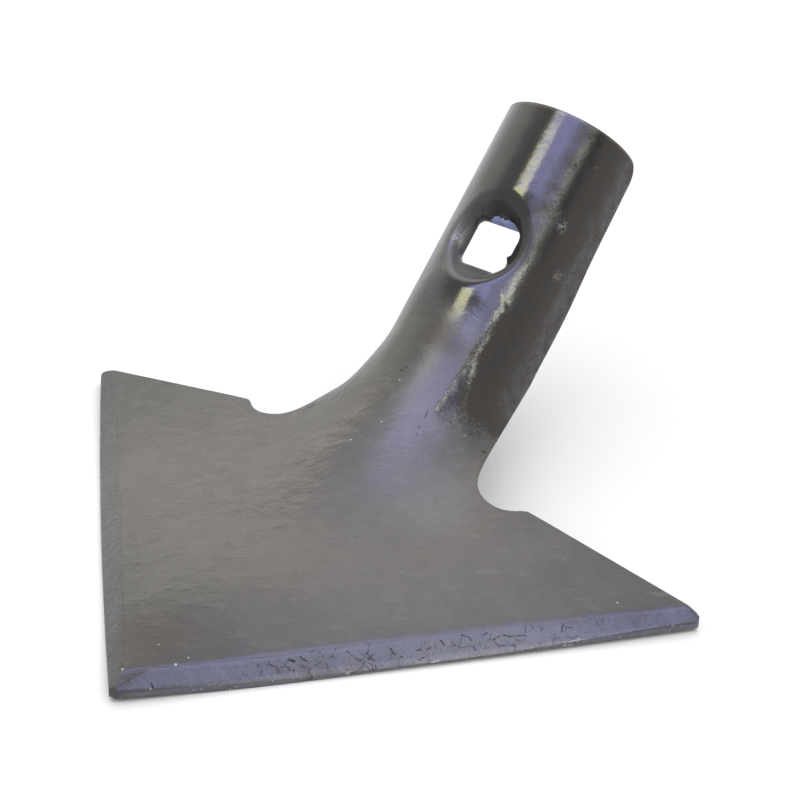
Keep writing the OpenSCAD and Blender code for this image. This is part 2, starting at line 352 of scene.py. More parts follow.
    def notched(self, x, y):
        """Plan y of a blade row, drawn forward round the notches."""
        s = self.sizes
        off = abs(x) - self.notch_x
        if off <= -self.notch_half:
            return y
        off = off * self.NOTCH_TAPER if off > 0 else off
        depth = sqrt(max(s.notch_radius**2 - off**2, 0)) - s.notch_behind
        depth = -soft_min(-depth, 0, s.notch_round * eased(off / s.notch_radius + 0.5) + self.SMALL)
        return y - depth * eased(1 + y / (2 * s.notch_radius))

    def blade_pair(self, x, y, bevel_part):
        """Upper and lower points of the blade."""
        x, y = self.rounded_tip(x, self.notched(x, y))
        top = self.blade_top(x, y)
        lift = Vector((0, 0, self.ground_lift(y)))
        outside = (bevel_part - self.WORN_INSIDE) / (1 - self.WORN_INSIDE)
        worn = Vector((0, 0, self.worn_edge(y) * eased(outside)))
        step = self.plate_step(x, y).lerp(Vector((0, 0, self.plate_up)), bevel_part)
        upper = Vector((x, y, soft_min(top, self.bevel_top(x, y), self.sizes.crease_round / 2)))
        return upper + lift, Vector((x, y, top)) - step + lift + worn

    def on_stem(self, x, along, out):
        """Point of the stem's frame: across, up the stem, and out from its axis."""
        axis = self.bend_end - self.sizes.stem_radius * self.stem_out
        place = axis + along * self.stem_way + out * self.stem_out
        return Vector((x, place.x, place.y))

    def stem_point(self, v, along, flank):
        """Point of the half-round section: v runs from -1 to 1 over its developed width."""
        radius = self.sizes.stem_radius
        run = abs(v) * (self.stem_arc + flank)
        turn = min(run / self.stem_arc, 1) * pi / 2
        x = copysign(radius * sin(turn), v)
        return self.on_stem(x, along, radius * cos(turn) - max(run - self.stem_arc, 0))

    def tongue_point(self, v, t):
        """Point of the bent tongue: t runs from 0 at the blade to 1 at the straight stem."""
        s = self.sizes
        x = self.root_half * v
        lean = -v * mix(tan(s.root_lean), self.notch_lean, abs(v) ** self.EDGE_TURN)
        root = Vector((x, 0, self.blade_top(x, 0)))
        across, along = self.slopes(x, 0)
        low = Vector((lean, 1, along + lean * across)).normalized()
        low_pull = low * mix(self.crown_pull, s.edge_pull_low, v * v)
        high = Vector((0, self.stem_way.x, self.stem_way.y))
        high_pull = high * mix(self.crown_pull, s.edge_pull_high, v * v)
        place = root.lerp(self.stem_point(v, 0, s.flank_low), eased(t))
        place += t * (1 - t) * ((1 - t) * low_pull - t * high_pull)
        (up, up_run), (out, out_run) = self.SHOULDER_UP, self.SHOULDER_ACROSS
        full = hump((t - up) / up_run) * eased((abs(v) - out) / out_run)
        way = self.SHOULDER_WAY
        return place + s.shoulder * full * Vector((copysign(way.x, v), way.y, way.z))

    def tongue_plate(self, v, up):
        """Thickness of the tongue and stem, which thins in the flanks."""
        out = (abs(v) - self.flank_start) / (1 - self.flank_start)
        return mix(self.sizes.plate, self.sizes.flank_edge, eased(out) * eased(up))

    def straight_point(self, v, along, cut=0):
        """Point of the straight stem, whose flanks taper towards its end."""
        s = self.sizes
        flank = mix(s.flank_low, s.flank_top, along / s.stem_length)
        full = hump(along / s.stem_length / self.FULL_PART)
        return self.stem_point(v, along, flank + s.flank_full * full - cut)

    def end_point(self, v, turn):
        """Point of the stem's end, where turn goes round the flanks' top corners."""
        radius = self.sizes.corner_radius
        along = self.sizes.stem_length - radius * (1 - sin(turn))
        return self.straight_point(v, along, radius * (1 - cos(turn)))


class PlateSheet:
    """Grid of the plate's upper and lower points: rows from nose to stem end, columns across."""

    TONGUE, NOTCH, WING, BEVEL = 26, 12, 20, 6
    BLADE_ROWS, TONGUE_ROWS, CORNER_ROWS = 64, 30, 6
    LOW_ROWS, HOLE_ROWS, HIGH_ROWS = 7, 26, 13
    HOLE_COLUMNS = 12
    HOLE_HALF = 17.5 * MM
    ROW_EASE = 0.5

    def __init__(self, form):
        self.form = form
        s = form.sizes
        self.half_columns = self.TONGUE + self.NOTCH + self.WING + self.BEVEL
        self.hole_row = self.BLADE_ROWS + self.TONGUE_ROWS + self.LOW_ROWS
        below, above = form.hole_along - self.HOLE_HALF, form.hole_along + self.HOLE_HALF
        end = s.stem_length - s.corner_radius
        steps = (self.LOW_ROWS, self.HOLE_ROWS, self.HIGH_ROWS)
        self.alongs = spread((0, below, above, end), steps)[1:]
        self.rows = self.BLADE_ROWS + self.TONGUE_ROWS + len(self.alongs) + self.CORNER_ROWS
        inner = form.inner_half(0)
        root, notch = form.root_half / inner, (form.notch_x + form.notch_half) / inner
        self.shares = spread((0, root, notch, 1), (self.TONGUE, self.NOTCH, self.WING))

    def kept(self, i, j):
        """Whether the cell that starts at row i and column j is part of the plate."""
        middle = abs(j + 0.5)
        if i >= self.BLADE_ROWS and middle > self.TONGUE:
            return False
        in_hole = self.hole_row <= i < self.hole_row + self.HOLE_ROWS and middle < self.HOLE_COLUMNS
        return not in_hole

    def by_hole(self, i, j):
        """Whether a grid point lies on the block that is left out for the recess."""
        rows = self.hole_row <= i <= self.hole_row + self.HOLE_ROWS
        return rows and abs(j) <= self.HOLE_COLUMNS

    def bevel_part(self, j):
        """Part of the bevel's width at column j, from 0 to 1 at the edge."""
        return max(abs(j) - len(self.shares) + 1, 0) / self.BEVEL

    def blade_points(self, i, j):
        """Upper and lower points of the blade at row i and column j."""
        form = self.form
        t = i / self.BLADE_ROWS
        y = -form.sizes.blade_length * (1 - mix(t, eased(t), self.ROW_EASE))
        part = self.bevel_part(j)
        inner = form.inner_half(y)
        x = mix(inner, form.half_width(y), part) if part > 0 else inner * self.shares[abs(j)]
        return form.blade_pair(copysign(x, j), y, part)

    def tongue_top(self, i, v):
        """Upper point of the tongue and stem at row i, where v runs from -1 to 1 across."""
        k = i - self.BLADE_ROWS
        if k <= self.TONGUE_ROWS:
            return self.form.tongue_point(v, k / self.TONGUE_ROWS)
        k -= self.TONGUE_ROWS + 1
        if k < len(self.alongs):
            return self.form.straight_point(v, self.alongs[k])
        k -= len(self.alongs) - 1
        return self.form.end_point(v, pi / 2 * k / self.CORNER_ROWS)

    def points(self, i, j):
        """Upper and lower points of the plate at row i and column j."""
        if i <= self.BLADE_ROWS:
            return self.blade_points(i, j)
        v, step = j / self.TONGUE, 1 / self.TONGUE
        upper = self.tongue_top(i, v)
        along = self.tongue_top(min(i + 1, self.rows), v) - self.tongue_top(i - 1, v)
        across = self.tongue_top(i, min(v + step, 1)) - self.tongue_top(i, max(v - step, -1))
        plate = self.form.tongue_plate(v, (i - self.BLADE_ROWS) / self.TONGUE_ROWS)
        return upper, upper - plate * across.cross(along).normalized()


class SweepMesh:
    """Mesh of the sweep, made from a flat grid that is cut out, thickened and formed."""

    # Tooth in the hole: its height, its place round the hole and its half width
    TOOTH, TOOTH_TURN, TOOTH_HALF = 0.9 * MM, 1.8, 0.2
    # Torn edge of the hole: its ends with their runs, and its waves as share, count and seed
    TORN_START, TORN_END = (-0.5, 0.3), (0.85, 0.25)
    TORN_RISE, TORN_LEAST = 0.55, 0.05 * MM
    TORN_WAVES = ((0.9, 9, (0.3, 0.7)), (0.5, 26, (5.1, 0.2)))
    # Rings of the recess on the way to its rim and down its wall, and the pad inside the channel
    COLLAR_PART, WALL_PART, RIM_STEPS = 0.1, 0.78, 20
    PAD_PART, PAD_FILLET, PAD_LEDGE = 0.98, 0.8 * MM, 0.3 * MM
    # Rounded edges: number of segments and wear of the lacquer
    RECESS_ROUND, PLATE_ROUND, HOLE_WEAR = (8, 0.3), (3, 1), 0.7

    def __init__(self, sizes):
        self.sizes = sizes
        self.form = PlateForm(sizes)
        self.sheet = PlateSheet(self.form)
        self.shift = Vector((0, NODE_LOW.y + sizes.blade_length, 0))
        self.bm = bmesh.new()
        self.thicken()
        self.punch()
        self.round_edges()
        bmesh.ops.recalc_face_normals(self.bm, faces=self.bm.faces[:])
        bmesh.ops.translate(self.bm, verts=self.bm.verts[:], vec=self.shift)

    def index(self, co):
        """Row and column of a point of the flat grid."""
        return round((co.y + 1) / 2 * self.sheet.rows), round(co.x * self.sheet.half_columns)

    def thicken(self):
        """Cut the plate from a grid, give it two faces and move them into place."""
        bm, sheet = self.bm, self.sheet
        columns = 2 * sheet.half_columns
        bmesh.ops.create_grid(bm, x_segments=columns, y_segments=sheet.rows, size=1)
        waste = [f for f in bm.faces if not sheet.kept(*min(self.index(v.co) for v in f.verts))]
        bmesh.ops.delete(bm, geom=waste, context="FACES")
        self.wear = bm.verts.layers.float.new("wear")
        bevel = bm.verts.layers.float.new("bevel")
        top = set(bm.verts)
        bmesh.ops.extrude_face_region(bm, geom=bm.faces[:], use_keep_orig=True)
        places = {v: self.index(v.co) for v in bm.verts}
        by_hole = {v for v, place in places.items() if sheet.by_hole(*place)}
        walls = [f for f in bm.faces if 0 < len(top.intersection(f.verts)) < len(f.verts)]
        inside = [f for f in walls if by_hole.issuperset(f.verts)]
        bmesh.ops.delete(bm, geom=inside, context="FACES_ONLY")
        loose = [e for e in bm.edges if not e.link_faces]
        bmesh.ops.delete(bm, geom=loose, context="EDGES")
        self.rim = [e for f in walls if f.is_valid for e in f.edges
                    if len(top.intersection(e.verts)) != 1]
        ends = [e for e in bm.edges if e.is_boundary]
        self.outer_loop = [e for e in ends if top.issuperset(e.verts)]
        self.inner_loop = [e for e in ends if not top.intersection(e.verts)]
        points = {}
        for vert, place in places.items():
            if place not in points:
                points[place] = sheet.points(*place)
            vert.co = points[place][0 if vert in top else 1]
            if vert in top and place[0] <= sheet.BLADE_ROWS:
                vert[bevel] = sheet.bevel_part(place[1])

    def past_hole(self, co):
        """Distance of a point up the stem from the hole's axis."""
        way = self.form.stem_way
        axis = self.form.bend_end + self.form.hole_along * way
        return (Vector((co.y, co.z)) - axis).dot(way)

    def ring(self, loop, place):
        """Extrude a loop round the hole and move it by its place, a function of turn."""
        made = bmesh.ops.extrude_edge_only(self.bm, edges=loop)["geom"]
        verts = {g for g in made if isinstance(g, bmesh.types.BMVert)}
        for vert in verts:
            turn = atan2(vert.co.x, self.past_hole(vert.co))
            reach, out = place(turn, vert.co)
            vert.co = self.form.on_stem(
                reach * sin(turn), self.form.hole_along + reach * cos(turn), out
            )
        return [g for g in made if isinstance(g, bmesh.types.BMEdge) and verts.issuperset(g.verts)]

    def rim_reach(self, turn):
        """Distance from the axis at which the recess meets the round stem."""
        s = self.sizes
        flare = (s.recess_width - s.recess_floor) / 2 / s.recess_depth
        floor = s.stem_radius - s.recess_depth
        reach = s.recess_width / 2
        for _ in range(self.RIM_STEPS):
            out = sqrt(s.stem_radius**2 - (reach * sin(turn)) ** 2)
            reach = s.recess_floor / 2 + flare * (out - floor)
        return reach

    def square_reach(self, turn):
        """Distance from the axis to the rounded square hole."""
        s = self.sizes
        half, corner = s.hole / 2, s.hole_corner
        c, d = abs(cos(turn)), abs(sin(turn))
        flat = half / max(c, d)
        if min(c, d) * flat <= half - corner:
            return flat
        k = (half - corner) * (c + d)
        return k + sqrt(max(k * k - 2 * (half - corner) ** 2 + corner * corner, 0))

    def torn(self, turn):
        """Width of the torn edge that the punch left on the upper side of the hole."""
        (start, rise), (end, fall) = self.TORN_START, self.TORN_END
        part = eased((turn - start) / rise) * eased((end - turn) / fall)
        rag = 1
        for swing, waves, seed in self.TORN_WAVES:
            rag += swing * noise.noise(Vector((waves * turn, *seed)))
        return self.sizes.hole_burr * part * rag + self.TORN_LEAST

    def hole_reach(self, turn):
        """Distance from the axis to the hole's edge with its tooth."""
        tooth = eased(1 - abs(turn - self.TOOTH_TURN) / self.TOOTH_HALF)
        return self.square_reach(turn) - self.TOOTH * tooth

    def punch(self):
        """Make the dished recess, the square hole and the pad inside the channel."""
        s = self.sizes
        radius, floor = s.stem_radius, s.stem_radius - s.recess_depth
        under = floor - s.floor_thickness
        inner = radius - s.plate
        flat = s.recess_floor / 2
        pad = flat + s.pad_rim

        def on_round(reach, turn):
            return sqrt(radius**2 - (reach * sin(turn)) ** 2)

        def collar(turn, co):
            sideways = abs(sin(turn)) > 0.5
            away = co.x / sin(turn) if sideways else self.past_hole(co) / cos(turn)
            reach = mix(away, self.rim_reach(turn), self.COLLAR_PART)
            return reach, on_round(reach, turn)

        def wall(part):
            def place(turn, co):
                reach = self.rim_reach(turn)
                return mix(reach, flat, part), mix(on_round(reach, turn), floor, part)
            return place

        def pad_reach(turn):
            side = self.PAD_PART * sqrt(inner**2 - under**2)
            return min(pad, side / max(abs(sin(turn)), 1e-6))

        def channel(turn, co):
            reach = pad_reach(turn) + self.PAD_FILLET
            return reach, sqrt(inner**2 - (reach * sin(turn)) ** 2)

        def edge(turn, co):
            torn = self.torn(turn)
            return self.hole_reach(turn) + torn, floor - s.dish + self.TORN_RISE * torn

        def lip(turn, co):
            return self.hole_reach(turn), floor - s.dish - s.hole_lip

        def foot(turn, co):
            reach = self.square_reach(turn) + s.hole_flare
            return min(reach, pad_reach(turn) - self.PAD_LEDGE), under

        loop = self.ring(self.outer_loop, collar)
        self.recess_rim = loop = self.ring(loop, wall(0))
        loop = self.ring(loop, wall(self.WALL_PART))
        loop = self.ring(loop, wall(1))
        self.hole_edge = loop = self.ring(loop, edge)
        self.hole_lip = loop = self.ring(loop, lip)
        loop = self.ring(loop, foot)
        loop = self.ring(loop, lambda turn, co: (pad_reach(turn), under))
        loop = self.ring(loop, channel)
        bmesh.ops.bridge_loops(self.bm, edges=loop + self.inner_loop)

    def round_edges(self):
        """Round the plate's rim and the edges of the recess and the hole."""
        s = self.sizes
        self.soften(self.recess_rim, s.recess_round, *self.RECESS_ROUND)
        for vert in {v for e in self.hole_edge + self.hole_lip for v in e.verts}:
            vert[self.wear] = self.HOLE_WEAR
        self.soften(list(dict.fromkeys(self.rim)), s.rim_round, *self.PLATE_ROUND)

    def soften(self, edges, offset, segments, wear):
        """Round a loop of edges and note how much its lacquer is worn."""
        made = bmesh.ops.bevel(
            self.bm, geom=edges, offset=offset, offset_type="OFFSET", affect="EDGES",
            segments=segments, profile=0.5, material=-1, clamp_overlap=True,
        )
        for vert in made["verts"]:
            vert[self.wear] = wear


def new_object(name, bm):
    """Object at the origin that takes over a bmesh."""
    mesh = bpy.data.meshes.new(name)
    bm.to_mesh(mesh)
    bm.free()
    for polygon in mesh.polygons:
        polygon.use_smooth = True
    piece = bpy.data.objects.new(name, mesh)
    bpy.context.collection.objects.link(piece)
    return piece


def operator(operation):
    """A method that adds a Math node on a value and another one."""
    return lambda self, other: self.math(operation, self, other)


class Value:
    """A shader socket that takes part in Python expressions."""

    def __init__(self, nodes, socket):
        self.nodes = nodes
        self.socket = socket

    def math(self, operation, *values):
        """A Math node on the given values."""
        return self.nodes.node("ShaderNodeMath", {"operation": operation}, dict(enumerate(values)))

    __add__ = __radd__ = operator("ADD")
    __sub__ = operator("SUBTRACT")
    __mul__ = operator("MULTIPLY")
    __truediv__ = operator("DIVIDE")
    __pow__ = operator("POWER")
    least = operator("MINIMUM")

    def __rsub__(self, other):
        return self.math("SUBTRACT", other, self)

    def __abs__(self):
        return self.math("ABSOLUTE", self)

    @property
    def swing(self):
        """A noise moved so that it swings about zero."""
        return self - 0.5

    def most(self, *others):
        """The greatest of several values."""
        greatest = self
        for other in others:
            greatest = self.math("MAXIMUM", greatest, other)
        return greatest

    def over(self, low, high):
        """An eased mask: 0 at low and 1 at high."""
        return self.nodes.node(
            "ShaderNodeMapRange",
            {"interpolation_type": "SMOOTHSTEP"},
            {"Value": self, "From Min": low, "From Max": high},
        )

    def near(self, middle, reach):
        """An eased mask: 1 at middle and 0 beyond reach."""
        return abs(self - middle).over(reach, 0)


class Nodes:
    """Node tree of one material or of the world."""

    def __init__(self, tree):
        self.tree = tree

    def node(self, kind, settings=None, sockets=None, output=0):
        """Add a node: its settings first, then the values or links of its sockets."""
        made = self.tree.nodes.new(kind)
        for name, value in (settings or {}).items():
            setattr(made, name, value)
        for name, value in (sockets or {}).items():
            if isinstance(value, Value):
                self.tree.links.new(value.socket, made.inputs[name])
            else:
                made.inputs[name].default_value = value
        return Value(self, made.outputs[output])

    def feed(self, shader, name, value):
        """Link a value to a socket of the shader."""
        self.tree.links.new(value.socket, shader.inputs[name])

    def split(self, vector):
        """The three parts of a vector."""
        made = self.node("ShaderNodeSeparateXYZ", None, {"Vector": vector}).socket.node
        return [Value(self, socket) for socket in made.outputs]

    def attribute(self, name):
        """A value that the mesh's points carry."""
        return self.node("ShaderNodeAttribute", {"attribute_name": name}, None, "Fac")

    def vector(self, operation, a, b):
        """A Vector Math node on two vectors, or on a vector and its scale."""
        sockets = {0: a, "Scale" if operation == "SCALE" else 1: b}
        output = "Value" if operation in ("DISTANCE", "DOT_PRODUCT") else "Vector"
        return self.node("ShaderNodeVectorMath", {"operation": operation}, sockets, output)

    def place(self, stretch=(1000, 1000, 1000), turn=(0, 0, 0)):
        """Object coordinates in millimetres, turned and stretched."""
        co = self.node("ShaderNodeTexCoord", output="Object")
        return self.node(
            "ShaderNodeMapping",
            {"vector_type": "TEXTURE"},
            {"Vector": co, "Rotation": turn, "Scale": [1 / s for s in stretch]},
        )

    def noise(self, place, scale, detail, rough):
        """Noise of a given number of waves per millimetre, about 0.5."""
        return self.node(
            "ShaderNodeTexNoise",
            {"noise_dimensions": "3D"},
            {"Vector": place, "Scale": scale, "Detail": detail, "Roughness": rough},
        )

    def shaken(self, place, scale, reach):
        """A place moved about at random, by up to half the reach."""
        made = self.noise(place, scale, 2, 0.6).socket.node
        shake = self.vector("SUBTRACT", Value(self, made.outputs["Color"]), (0.5, 0.5, 0.5))
        return self.vector("ADD", place, self.vector("SCALE", shake, reach))

    def mixed(self, part, a, b):
        """Colour a given part of the way from a to b."""
        a = a if isinstance(a, Value) else (*a, 1)
        b = b if isinstance(b, Value) else (*b, 1)
        return self.node("ShaderNodeMix", {"data_type": "RGBA"}, {0: part, 6: a, 7: b}, output=2)


# Patches with soft edges, in millimetres: centre, reach, raggedness and the share that is full
DARK_PATCH = ((-0.2, 43.7, 52.6), 6.5, 0.3, 0.1)
# The next two are patches of painted reflection, right of the bend and right of the root
BEND_SHEEN = ((8.5, 37.5, 45.8), 8, 0.2, 0.1)
WING_SHEEN = ((24.8, -2.4, 16.5), 17, 0.2, 0.1)
BEND_DULL = ((3.5, 33, 43.4), 7.5, 0.3, 0.2)
NOSE_DULL = ((-2, -86, 8), 22, 0.2, 0.1)
# Specks and smudges of bare steel: centre and reach
SPECKS = (
    ((0.8, -85.6, 7.7), 0.3), ((8.4, -88.3, 6.6), 0.36), ((9.4, -84.5, 6.9), 0.34),
    ((-0.5, -97.9, 6.8), 0.4), ((81.5, 0.1, 6.9), 0.3), ((-1.2, 19.6, 33.7), 0.3),
    ((1.3, 7.9, 27.0), 0.25), ((-3.3, 0.3, 23.3), 0.35),
)
SMUDGES = (
    ((16.1, 70.9, 64.9), 2.6), ((19.0, 65.6, 52.8), 2.0),
    ((14.1, 54.7, 54.3), 0.9), ((-9.4, 57.9, 58.0), 2.6),
)
# Scrapes down to the steel, and one painted highlight: start, end, reach and share
SCRAPES_AND_GLINT = (
    ((16.2, 85.6, 77.4), (17.4, 87.6, 76.6), 0.3, 0.5),
    ((15.2, 68.9, 66.2), (16.8, 70.1, 64.8), 0.3, 0.5),
    ((19.0, 66.4, 53.6), (19.2, 64.0, 51.2), 0.3, 0.5),
    # Painted highlight: a pale speckled streak where the right strip's reflection runs down the
    # root
    ((13.2, 40.0, 42.4), (11.9, 18.9, 29.6), 0.9, 0.45),
    ((19.6, 18.6, 23.9), (20.8, 20.6, 23.8), 0.3, 0.3),
    ((20.4, 24.4, 25.2), (21.2, 26.4, 24.7), 0.3, 0.3),
    ((18.0, 17.2, 24.8), (19.2, 18.0, 24.2), 0.3, 0.25),
    ((40.2, -59.1, 1.6), (41.6, -57.6, 1.6), 0.35, 0.8),
    ((42.4, -56.7, 1.7), (43.0, -56.0, 1.7), 0.3, 0.8),
    ((53.9, -43.6, 1.6), (55.0, -42.4, 1.6), 0.35, 0.8),
    ((76.9, -17.0, 2.3), (79.3, -14.1, 2.5), 0.35, 0.8),
    ((6.7, -96.3, 3.2), (7.6, -95.3, 3.2), 0.35, 0.8),
)
# Cracks: a line of points and its reach
CRACKS = (
    (((24.3, -72.1, 4.9), (26.6, -71.4, 3.6), (27.5, -71.8, 2.7)), 0.24),
    (((28.3, -67.8, 4.9), (28.9, -67.3, 4.4)), 0.5),
    (((29.7, -65.7, 5.0), (31.2, -65.3, 4.2)), 0.28),
    (((37.4, -56.6, 5.3), (39.7, -56.3, 3.7), (41.2, -55.4, 3.2), (41.1, -53.5, 4.5)), 0.24),
    (((45.0, -48.8, 4.7), (47.3, -48.8, 3.0), (48.1, -47.8, 3.0)), 0.24),
    (((49.8, -44.7, 3.8), (52.2, -41.6, 4.0)), 0.3),
    (((53.3, -38.8, 5.0), (54.6, -38.8, 4.1)), 0.34),
    (((55.3, -35.1, 5.9), (58.1, -33.4, 5.0), (59.0, -33.3, 4.4)), 0.24),
    (((62.7, -29.7, 4.0), (63.9, -27.5, 4.5), (68.5, -22.9, 4.1)), 0.26),
    (((74.8, -15.9, 4.1), (74.3, -14.3, 5.4)), 0.28),
    (((10.0, 18.3, 30.3), (11.2, 9.8, 25.4)), 0.17),
)
# Nicks filled with dirt: start, end and reach
NICKS = (
    ((-2.6, 21.6, 35.1), (-1.4, 23.2, 35.9), 0.25),
    ((-26.6, 13.0, 18.6), (-25.4, 15.0, 19.0), 0.35),
    ((25.0, 21.4, 20.2), (26.2, 22.2, 19.3), 0.4),
    ((23.6, 25.4, 21.6), (24.8, 26.2, 20.5), 0.3),
    ((6.4, -95.4, 3.9), (7.8, -95.8, 2.9), 0.45),
)
# Directions of rolling on the blade and of the hammer on the left bevel
ROLLED, HAMMERED = (0, 0, 0.6), (0.5, 0.5, 0)
BLACK = (0, 0, 0)


def lacquered(mesh, f):
    """Dark lacquer over forged steel: glossy on the stem, satin and worn on the blade, with painted
    highlights, reflections and shade.
    """
    material = bpy.data.materials.new("lacquered_steel")
    material.use_nodes = True
    n, form = Nodes(material.node_tree), mesh.form
    at = n.place()
    shaken = n.shaken(at, 0.45, 1.6)
    crumb = n.noise(at, 1.1, 3, 0.7)
    wear, bevel = n.attribute("wear"), n.attribute("bevel")
    cloud = n.noise(at, 0.05, 4, 0.55)
    blotch = n.noise(at, 0.22, 3, 0.6)
    grain = n.noise(at, 1.9, 3, 0.65)
    streaks = n.noise(n.place((220, 800, 800), ROLLED), 0.5, 3, 0.65)
    skin = n.noise(n.place((600, 1000, 1000), ROLLED), 0.32, 2, 0.6)

    def spot(centre, reach, ragged=2.0, soft=0.6):
        """Ragged spot about a point of the surface."""
        away = n.vector("DISTANCE", at, centre)
        return (away + crumb.swing * reach * ragged).over(reach, soft * reach)

    def stroke(start, end, reach):
        """Thin scratch from one point of the surface to another."""
        start, way = Vector(start), Vector(end) - Vector(start)
        rel = n.vector("SUBTRACT", shaken, start)
        part = n.vector("DOT_PRODUCT", rel, way / way.length_squared).most(0).least(1)
        away = n.vector("DISTANCE", rel, n.vector("SCALE", way, part))
        return (away + crumb.swing * reach * 0.8).over(reach, 0.4 * reach)

    # Distances up the stem, out from it, past its hole and in from the cutting edges
    x, y, z = n.split(at)
    start, shift = form.bend_end / MM, mesh.shift.y / MM
    stem_y, stem_z = y - (start.x + shift), z - start.y
    along = stem_y * form.stem_way.x + stem_z * form.stem_way.y
    out = stem_y * form.stem_out.x + stem_z * form.stem_out.y
    past_hole = along - form.hole_along / MM
    half = (y - shift) * form.edge_slant + mesh.sizes.blade_width / 2 / MM
    edge = (half - abs(x)) * cos(atan(form.edge_slant))

    # Gloss of the stem, which runs out over the bend, and the blade lighter towards its middle
    dark = spot(*DARK_PATCH)
    side = x.most(-6).least(0)
    crown = (along + side * 1.5 + cloud.swing * 8 + blotch.swing * 8).over(-2, 9)
    ragged = blotch.swing * 3 + crumb.swing * 3
    flank = (x + ragged).over(11.2, 13.2) * (along + ragged * 3).over(-26, -18)
    stem = crown.most(flank, dark)
    dusty = (x - along.over(40, 0) * 5 + blotch.swing * 5).over(0, -6) * (1 - dark)
    round_middle = (x / 88) ** 2 + ((y + 16) / 62) ** 2
    lighter_middle = (round_middle + cloud.swing * 0.9).over(1.15, 0.05)
    recess = (x**2 + past_hole**2).over(200, 130) * out.over(-11, -9)

    # Bevels, lands and the forged skin of the wings
    on_bevel = bevel.over(0.06, 0.2)
    left_bevel = on_bevel * x.over(0, -2)
    right = x.over(0, 4)
    land = z.over(2.7, 2.3) * edge.over(3, 2) * right
    bevel_ends = abs(x - 48).over(22, 42)
    wing = (1 - stem - on_bevel).most(0) * along.over(-10, -26)
    left = x.over(6, -6) * cloud.over(0.34, 0.52)
    # Mask of the painted highlight along the left rim of the root and stem
    left_rim = along.over(-30, -5) * x.over(-9, -15)

    # Bare steel: chipped edges, flecks on the flank, specks, smudges and scrapes, and one painted
    # highlight drawn like the scrapes
    grit = grain + crumb
    smudged, scraped_and_glint = grit.over(0.94, 1.2) * 0.6, grit.over(0.86, 1.12)
    chip_and_glint = (crumb + wear * 0.22 + blotch.swing * 0.6).over(0.87, 0.94)
    flecks = (grain * 0.5 + crumb * 0.6).over(0.64, 0.74) * blotch.over(0.4, 0.6)
    chip_and_glint = (chip_and_glint * wear.over(0.3, 0.8) * edge.over(4, 1.5)).most(
        flecks * stem * x.over(13, 17) * 0.3,
        *(spot(*speck) for speck in SPECKS),
        *(spot(*smudge) * smudged for smudge in SMUDGES),
        *(stroke(*stroke_ends) * scraped_and_glint * part for *stroke_ends, part in SCRAPES_AND_GLINT),
    )
    # The hole's torn edge: bare steel, painted brighter and bluer as a reflection
    burr = wear.over(0.35, 0.6) * past_hole.over(4.5, 6) * abs(x - 1.5).over(6, 4) * recess

    # Pits, crazing and cracks of the bevels, and nicks
    net = n.node(
        "ShaderNodeTexVoronoi", {"feature": "DISTANCE_TO_EDGE"},
        {"Vector": shaken, "Scale": 0.28}, "Distance",
    )
    crazed = net.over(0.042, 0.015) * (blotch * 0.7 + crumb * 0.3).over(0.5, 0.54)
    cracked = crumb.over(0.16, 0.36)
    pit = (grain * 0.6 + crumb * 0.5).over(0.66, 0.73) * on_bevel * 0.7
    pit = pit.most(
        crazed * abs(x - 50).over(38, 26) * on_bevel * 0.8,
        *(stroke(*ends, reach) * cracked
          for line, reach in CRACKS for ends in zip(line, line[1:])),
        *(stroke(*nick) for nick in NICKS),
    )

    # Layers of colour, from the dull nose up to the bare steel, with painted highlights,
    # reflections, light and shade among them
    speckle = (grain.swing * 0.9 + blotch.swing * 0.5).most(-0.4).least(0.4)
    # Lighter grain at random, and painted highlights of dents along the rolling streaks
    light = (0 - speckle).most(0) * 0.25 + streaks.over(0.56, 0.8) * 0.16 * (1 - on_bevel)
    end = mesh.sizes.stem_length / MM
    tone = f.nose
    for part, layer in (
        (lighter_middle, f.blade),
        # The left bevel made darker
        (left_bevel * 0.4, f.pit),
        (stem, n.mixed(dusty, f.stem, f.dusty)),
        # Painted reflection of the floor on the right land
        (land * 0.16, f.land),
        # Painted reflection: bluish sheen on the right bevel
        (on_bevel * right * (bevel_ends * 0.03 + 0.07), f.bevel_sheen),
        # Painted highlight along the left rim
        (left_rim * 0.3, f.rim_glow),
        # Painted reflection: bluish sheen right of the bend
        (spot(*BEND_SHEEN) * 0.25, f.bend_sheen),
        # Painted reflection: pale sheen right of the root
        (spot(*WING_SHEEN) * 0.12, f.wing_sheen),
        # Painted highlight on the edge of the stem's end
        (along.over(end - 1.1, end - 0.5) * 0.5, f.stem_end_highlight),
        # Painted light on the lower and left wall of the recess
        (recess * past_hole.over(8, 0) * x.over(8, 0), f.recess),
        # Painted shade and highlight: the left wing's relief darkened and lightened in colour
        (skin.over(0.5, 0.3) * left * wing * 0.12, BLACK),
        (skin.over(0.52, 0.72) * left * wing * 0.08, f.mark),
        (speckle.most(0), BLACK),
        (light * (1 - stem * 0.8), f.mark),
        (chip_and_glint, f.chip_and_glint),
        (burr, f.burr),
    ):
        tone = n.mixed(part, tone, layer)

    # Roughness: satin, with a glossy stem and bevels
    gloss = stem * (1 - recess) * (0.22 - dusty * 0.1) + on_bevel * 0.12
    soft_top = stem * x.over(6, 11) * past_hole.over(-8, 8) * 0.14
    rough = 0.36 - gloss + soft_top + grain.swing * 0.12 + chip_and_glint * 0.2

